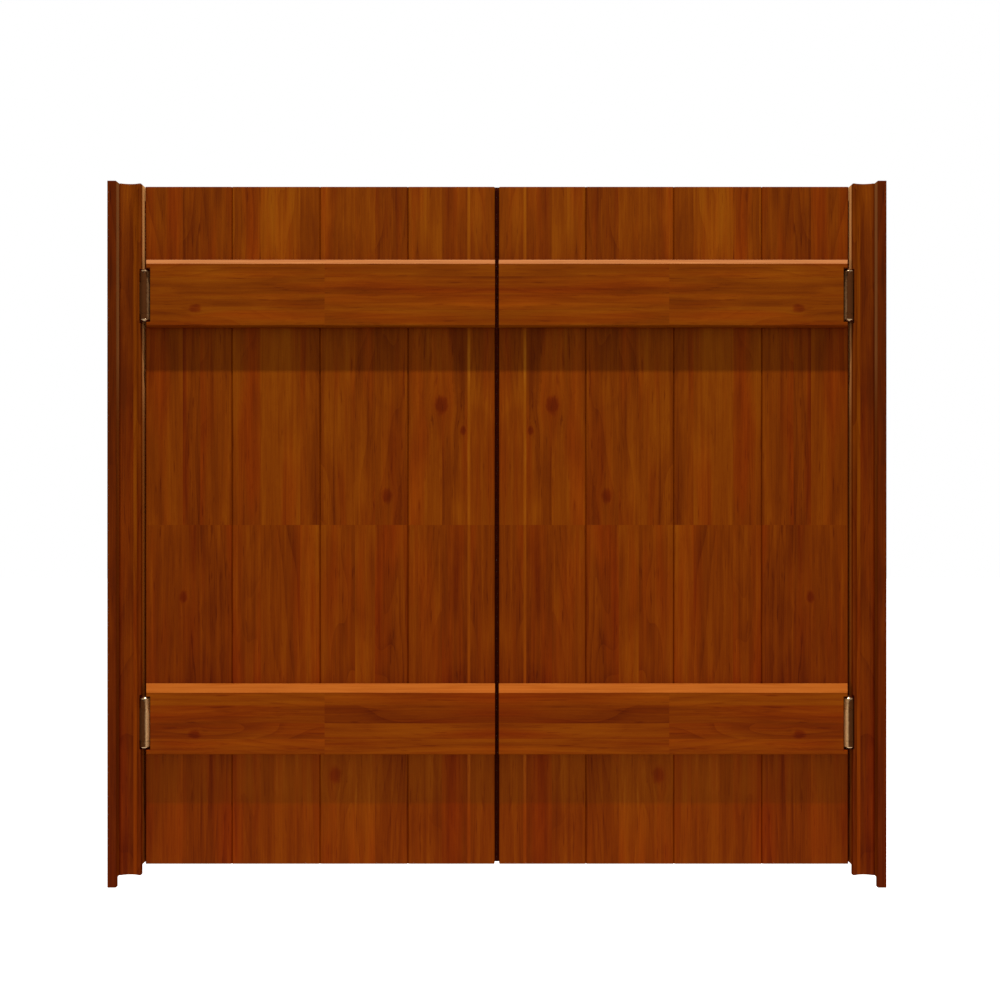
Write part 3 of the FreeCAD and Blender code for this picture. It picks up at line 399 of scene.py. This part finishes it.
# Staves: inner edge and outer edge, then tone below and above the butt joints.
BUTT_JOINTS = 0.514
PLANK_STAVES = {
    1: [(0.375, 0.427, 0.36, 0.40), (0.427, 0.452, 0.27, 0.30), (0.452, 0.507, 0.38, 0.46)],
    2: [(0.248, 0.283, 0.60, 0.36), (0.283, 0.340, 0.52, 0.64), (0.340, 0.382, 0.48, 0.52)],
    3: [(0.122, 0.175, 0.42, 0.38), (0.175, 0.204, 0.62, 0.50), (0.204, 0.255, 0.58, 0.56)],
    4: [(0.000, 0.038, 0.42, 0.52), (0.038, 0.042, 1.00, 1.10), (0.042, 0.079, 0.34, 0.38),
        (0.079, 0.129, 0.50, 0.55)],
}
PLANK_KNOTS = {
    1: [(0.451, 0.410, 0.004)],
    2: [],
    3: [(0.2331, 0.154, 0.006), (0.1583, 0.556, 0.005)],
    4: [(0.0800, 0.687, 0.0062), (0.0490, 0.650, 0.0032)],
}
RAIL_FOOT = {level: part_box(f"left_{level}_rail")[0].z for level in LEVELS}
RAIL_STAVES = [(-0.005, 0.022, 0.52, 0.58), (0.022, 0.044, 0.56, 0.44), (0.044, 0.070, 0.34, 0.46),
               (0.070, 0.110, 0.50, 0.62)]
RAIL_TONE = {"upper": 0.06, "lower": 0.16}
RAIL_BUTT = 0.245
RAIL_KNOTS = {"upper": (0.0250, 0.429, 0.0042), "lower": (0.0290, 0.430, 0.0042)}
RAIL_SEED = 5.3
SHADE_FOOT = 0.113              # lower edge of the shade that the lower rail throws
STRIP_STAVES = [(0.509, 0.516, 0.30, 0.20), (0.516, 0.521, 0.66, 0.66), (0.521, 0.541, 0.26, 0.0)]
BOARD_STAVES = [(0.540, 0.554, 0.02, 0.0)]
BOARD_BUTT = 0.60
# Painted side light: front edge and back edge along Y, then how strong the painted light is.
STRIP_SIDE_LIGHT = (-0.0142, 0.0045, 1.0)
BOARD_SIDE_LIGHT = (-0.033, -0.018, 0.19)


def wood_for_planks():
    for number, staves in PLANK_STAVES.items():
        material = wood(f"plank_{number}_wood", "Z", staves, BUTT_JOINTS, PLANK_KNOTS[number],
                        0.37 * number, painted_shading=(SHADE_FOOT, RAIL_FOOT["lower"]))
        for side in SIDES:
            dress(f"{side}_plank_{number}", material)


def wood_for_rails():
    for level in LEVELS:
        foot = RAIL_FOOT[level]
        staves = [(foot + low, foot + high, below, above) for low, high, below, above in RAIL_STAVES]
        rise, along, radius = RAIL_KNOTS[level]
        knots = [(foot + rise, along, radius)]
        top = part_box(f"left_{level}_rail")[1].z
        material = wood(f"{level}_rail_wood", "X", staves, RAIL_BUTT, knots, RAIL_SEED, RAIL_TONE[level],
                        painted_top_light=(top, TOP_LIGHT[level]))
        for side in SIDES:
            dress(f"{side}_{level}_rail", material)


def wood_for_jambs():
    strip = wood("hanging_strip_wood", "Z", STRIP_STAVES, seed=11.9, lift=-0.07, painted_side_light=STRIP_SIDE_LIGHT)
    board = wood("jamb_board_wood", "Z", BOARD_STAVES, BOARD_BUTT, seed=14.2, tone=-0.06,
                 painted_side_light=BOARD_SIDE_LIGHT)
    for side in SIDES:
        dress(f"{side}_hanging_strip", strip)
        dress(f"{side}_jamb_board", board)


def dress(node, material):
    """Gives one CAD node a single material."""
    mesh = parts[node].data
    mesh.materials.clear()
    mesh.materials.append(material)
    for polygon in mesh.polygons:
        polygon.material_index = 0


# ---------------------------------------------------------------- metals and plastic

def metal(name, bright, tarnish, roughness, brushing=0.5, tarnished=0.5, painted_shading=False, metallic=1.0):
    """Metal with fine lathe or brush lines round its upright axis and tarnish in its corners."""
    material, tree, shader = new_material(name)
    spot = add(tree, "ShaderNodeTexCoord").outputs["Object"]
    lines = noise(tree, scaled(tree, spot, (300.0, 300.0, 9000.0)), 3.0, 0.7)
    mottle = noise(tree, scaled(tree, spot, (240.0, 240.0, 240.0)), 4.0, 0.62)
    speckle = noise(tree, scaled(tree, spot, (1500.0, 1500.0, 1500.0)), 2.0, 0.6)
    crease = add(tree, "ShaderNodeAmbientOcclusion", {"Distance": 0.003}, samples=4)
    shelter = remapped(tree, crease.outputs["AO"], 0.9, 0.35)
    tarnish_and_shade = maths(tree, "MULTIPLY_ADD", remapped(tree, mottle, 0.42, 0.68), tarnished, shelter)
    if painted_shading:
        # Painted shade: the side next to the jamb is darkened to stand for the barrels' shaded side, and
        # the upper hinges are darkened to stand for the shade they lie in.
        place = add(tree, "ShaderNodeSeparateXYZ", {0: spot}).outputs
        normal = add(tree, "ShaderNodeSeparateXYZ", {
            0: add(tree, "ShaderNodeTexCoord").outputs["Normal"]}).outputs
        outward = maths(tree, "MULTIPLY", normal["X"], maths(tree, "SIGN", place["X"]))
        tarnish_and_shade = maths(tree, "ADD", tarnish_and_shade, remapped(tree, outward, -0.80, -0.08, smooth=True))
        tarnish_and_shade = maths(tree, "ADD", tarnish_and_shade, remapped(tree, place["Z"], 0.4, 0.7, 0.0, 0.72))
    tarnish_and_shade = maths(tree, "MULTIPLY_ADD", maths(tree, "SUBTRACT", speckle, 0.5), 0.25, tarnish_and_shade, clamp=True)
    colour = mixed(tree, tarnish_and_shade, bright, tarnish)
    rough = maths(tree, "MULTIPLY_ADD", lines, 0.16, roughness - 0.08)
    rough = maths(tree, "MULTIPLY_ADD", tarnish_and_shade, 0.18, rough)
    eased = add(tree, "ShaderNodeBevel", {"Radius": 0.00035}, samples=4)
    bump = add(tree, "ShaderNodeBump", {
        "Strength": brushing, "Distance": 0.00004, "Height": lines, "Normal": eased.outputs["Normal"]})
    set_inputs(tree, shader, {
        "Base Color": colour, "Metallic": metallic, "Roughness": rough, "Specular IOR Level": 0.1,
        "Normal": bump.outputs["Normal"]})
    return material


def moulded(name, colour, roughness):
    material, tree, shader = new_material(name)
    spot = add(tree, "ShaderNodeTexCoord").outputs["Object"]
    cloud = noise(tree, scaled(tree, spot, (700.0, 700.0, 700.0)), 3.0)
    tinted = mixed(tree, remapped(tree, cloud, 0.3, 0.7), tuple(0.8 * part for part in colour), colour)
    bump = add(tree, "ShaderNodeBump", {"Strength": 0.2, "Distance": 0.00005, "Height": cloud})
    set_inputs(tree, shader, {
        "Base Color": tinted, "Roughness": maths(tree, "MULTIPLY_ADD", cloud, 0.15, roughness),
        "Normal": bump.outputs["Normal"]})
    return material


def metals_for_hinges():
    leaf = metal("antique_brass", (0.74, 0.445, 0.205), (0.074, 0.021, 0.003), 0.50,
                 tarnished=0.15, painted_shading=True, metallic=0.55)
    cap = metal("polished_brass", (0.46, 0.31, 0.17), (0.16, 0.095, 0.045), 0.24, 0.25, 0.3)
    zinc = metal("zinc_plate", (0.42, 0.40, 0.35), (0.18, 0.16, 0.13), 0.34, 0.3, 0.4)
    steel = metal("oiled_steel", (0.36, 0.36, 0.37), (0.09, 0.09, 0.09), 0.30)
    nylon = moulded("nylon", (0.72, 0.70, 0.62), 0.45)
    for side in SIDES:
        for level in LEVELS:
            for plate in ("jamb_leaf", "link_plate", "door_leaf"):
                dress(f"{side}_{level}_{plate}", leaf)
        dress(f"{side}_tension_collars", leaf)
        dress(f"{side}_barrel_tips", cap)
        for leaf_end in ("jamb", "door"):
            dress(f"{side}_{leaf_end}_leaf_screws", cap)
            dress(f"{side}_{leaf_end}_bushes", nylon)
        dress(f"{side}_rail_screws", zinc)
        dress(f"{side}_strip_screws", zinc)
        dress(f"{side}_hinge_pins", steel)
        dress(f"{side}_hinge_springs", steel)


# ---------------------------------------------------------------- brush seals

BACKING_HALF_WIDTH = 0.0022
EMBEDDED = 0.0005               # backing and fin, past the plank's edge into its kerf
FIN_HALF = 0.0004
FIN_TIP = 0.000001              # from the middle of the doorway
FIN_PROUD = 0.0018              # above the door
FIN_FOOT = 0.0005               # above the seal's foot
TUFT_ROOT = 0.0006              # past the plank's edge
TUFT_TIP = (0.00002, 0.0004)    # from the middle of the doorway
TUFT_PITCH = 0.0016
TUFT_HALF = 0.00042
TUFT_FOOT = 0.001               # first tuft, above the seal's foot
TUFT_TOP = 0.0012               # last tuft, below the seal's top
ROW_SPREAD = 0.00112
SPLAY = 1.25                    # rows stand this many times wider at their tips
SEED = 20


def tuft(mesh, root, tip, half):
    """Three-sided bristle tuft that tapers from its root to its tip."""
    corners = []
    for turn in (math.pi / 2, math.pi * 7 / 6, math.pi * 11 / 6):
        corners.append(Vector((0, math.cos(turn), math.sin(turn))))
    low = [mesh.verts.new(root + corner * half) for corner in corners]
    high = [mesh.verts.new(tip + corner * half * 0.35) for corner in corners]
    for index in range(3):
        after = (index + 1) % 3
        mesh.faces.new((low[index], low[after], high[after], high[index]))
    mesh.faces.new(high)
    mesh.faces.new(list(reversed(low)))


def slab(mesh, low, high):
    """Box with every edge eased a little."""
    made = bmesh.ops.create_cube(mesh, size=1.0)["verts"]
    middle, size = (low + high) / 2, high - low
    for vertex in made:
        vertex.co = Vector(middle[axis] + vertex.co[axis] * size[axis] for axis in range(3))
    edges = list({edge for vertex in made for edge in vertex.link_edges})
    bmesh.ops.bevel(mesh, geom=edges, offset=0.0002, segments=2, affect="EDGES", profile=0.5)


def brush_seal(side, material):
    """Backing strip in the kerf with rows of tufts that reach the middle of the doorway."""
    sign = SIDES[side]
    low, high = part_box(f"{side}_meeting_seal")
    root = max(abs(low.x), abs(high.x))
    plank_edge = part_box(f"{side}_plank_4")[0].x if sign > 0 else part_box(f"{side}_plank_4")[1].x
    mesh = bmesh.new()
    inner, outer = sorted((sign * root, plank_edge + sign * EMBEDDED))
    slab(mesh, Vector((inner, -BACKING_HALF_WIDTH, low.z)), Vector((outer, BACKING_HALF_WIDTH, high.z)))
    # A thin fin stands in the pile and meets the other seal's fin, so no light passes.
    inner, outer = sorted((sign * FIN_TIP, plank_edge + sign * EMBEDDED))
    slab(mesh, Vector((inner, -FIN_HALF, low.z + FIN_FOOT)), Vector((outer, FIN_HALF, high.z + FIN_PROUD)))
    chance = random.Random(SEED + sign)
    count = int((high.z - low.z - 2 * TUFT_FOOT) / TUFT_PITCH)
    for row in (-1, 0, 1):
        y = row * ROW_SPREAD
        for index in range(count):
            z = low.z + TUFT_FOOT + (index + 0.5 * (row % 2)) * TUFT_PITCH
            z = min(z + chance.uniform(-1, 1) * 0.0003, high.z - TUFT_TOP)
            start = Vector((plank_edge + sign * TUFT_ROOT, y, z))
            end = Vector((sign * chance.uniform(*TUFT_TIP),
                          y * SPLAY + chance.uniform(-1, 1) * 0.0004,
                          z + chance.uniform(-1, 1) * 0.0009))
            tuft(mesh, start, end, TUFT_HALF)
    data = bpy.data.meshes.new(f"{side}_brush")
    mesh.to_mesh(data)
    mesh.free()
    data.materials.append(material)
    brush = bpy.data.objects.new(f"{side}_brush", data)
    bpy.context.scene.collection.objects.link(brush)
    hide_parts(f"{side}_meeting_seal")
    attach(brush, f"{side}_door")


def pile_material():
    material, tree, shader = new_material("brown_pile")
    spot = add(tree, "ShaderNodeTexCoord").outputs["Object"]
    strands = noise(tree, scaled(tree, spot, (60.0, 900.0, 900.0)), 3.0)
    shade = remapped(tree, strands, 0.3, 0.7)
    colour = mixed(tree, shade, (0.022, 0.0020, 0.0003), (0.070, 0.0070, 0.0006))
    set_inputs(tree, shader, {"Base Color": colour, "Roughness": 0.8, "Specular IOR Level": 0.02})
    return material


# ---------------------------------------------------------------- staging

CAMERA_HEIGHT = 0.55
CAMERA_DISTANCE = 1.5095
SENSOR_MILLIMETRES = 36.0
LENS_MILLIMETRES = 37.5
LENS_SHIFT = 0.0031
FLOOR_HEIGHT = -0.62
FLOOR_HALF = 14.0
SHADOW_REACH = (0.75, 1.6)
KEY_PLACE = (0.0, -0.98, 4.0)
KEY_AIM = (0.0, 0.0, 0.5)
KEY_WIDTH = 0.09
KEY_WATTS = 150.0
FILL = 0.42


def seen_rays(tree):
    """One for the rays that show the white background: the camera's, and those of gloss and glass."""
    path = add(tree, "ShaderNodeLightPath").outputs
    seen = maths(tree, "MAXIMUM", path["Is Camera Ray"], path["Is Glossy Ray"])
    return maths(tree, "MAXIMUM", seen, path["Is Transmission Ray"])


def floor():
    """Pale floor well below the doors, which hang in a doorway; it keeps their shadow."""
    data = bpy.data.meshes.new("floor")
    mesh = bmesh.new()
    bmesh.ops.create_grid(mesh, x_segments=1, y_segments=1, size=FLOOR_HALF)
    mesh.to_mesh(data)
    mesh.free()
    material, tree, shader = new_material("pale_floor")
    spot = add(tree, "ShaderNodeTexCoord").outputs["Object"]
    cloud = noise(tree, scaled(tree, spot, (3.0, 3.0, 3.0)), 3.0)
    colour = mixed(tree, cloud, (0.74, 0.74, 0.74), (0.80, 0.80, 0.80))
    seen = seen_rays(tree)
    # Under the doors the floor shows their shadow; further out it is white to the camera.
    out = add(tree, "ShaderNodeVectorMath", {0: spot}, operation="LENGTH").outputs["Value"]
    whiteness = remapped(tree, out, *SHADOW_REACH, 0.35, 1.0, smooth=True)
    set_inputs(tree, shader, {
        "Base Color": colour, "Roughness": 0.8, "Specular IOR Level": 0.0,
        "Emission Color": (1.0, 1.0, 1.0, 1.0),
        "Emission Strength": maths(tree, "MULTIPLY", seen, whiteness)})
    data.materials.append(material)
    plane = bpy.data.objects.new("floor", data)
    plane.location.z = FLOOR_HEIGHT
    bpy.context.scene.collection.objects.link(plane)


def surroundings():
    """White background; as a light, an even soft fill."""
    world = bpy.data.worlds.new("studio")
    bpy.context.scene.world = world
    world.use_nodes = True
    tree = world.node_tree
    tree.nodes.clear()
    strength = remapped(tree, seen_rays(tree), 0.0, 1.0, FILL, 1.0)
    background = add(tree, "ShaderNodeBackground", {"Color": (1.0, 1.0, 1.0, 1.0), "Strength": strength})
    output = add(tree, "ShaderNodeOutputWorld")
    tree.links.new(background.outputs[0], output.inputs["Surface"])


def key_lamp():
    data = bpy.data.lights.new("key", "AREA")
    data.shape = "DISK"
    data.size = KEY_WIDTH
    data.energy = KEY_WATTS
    lamp = bpy.data.objects.new("key", data)
    lamp.location = KEY_PLACE
    aim = Vector(KEY_AIM) - Vector(KEY_PLACE)
    lamp.rotation_euler = aim.to_track_quat("-Z", "Y").to_euler()
    bpy.context.scene.collection.objects.link(lamp)


def camera():
    data = bpy.data.cameras.new("camera")
    data.sensor_width = SENSOR_MILLIMETRES
    data.lens = LENS_MILLIMETRES
    data.shift_x = LENS_SHIFT
    data.clip_end = 50.0
    made = bpy.data.objects.new("camera", data)
    made.location = (0.0, -CAMERA_DISTANCE, CAMERA_HEIGHT)
    made.rotation_euler = (math.pi / 2, 0.0, 0.0)
    bpy.context.scene.collection.objects.link(made)
    bpy.context.scene.camera = made


# ---------------------------------------------------------------- the scene

camera()
wood_for_planks()
wood_for_rails()
wood_for_jambs()
metals_for_hinges()
pile = pile_material()
for side in SIDES:
    brush_seal(side, pile)
floor()
surroundings()
key_lamp()
bpy.context.scene.view_settings.view_transform = "Standard"
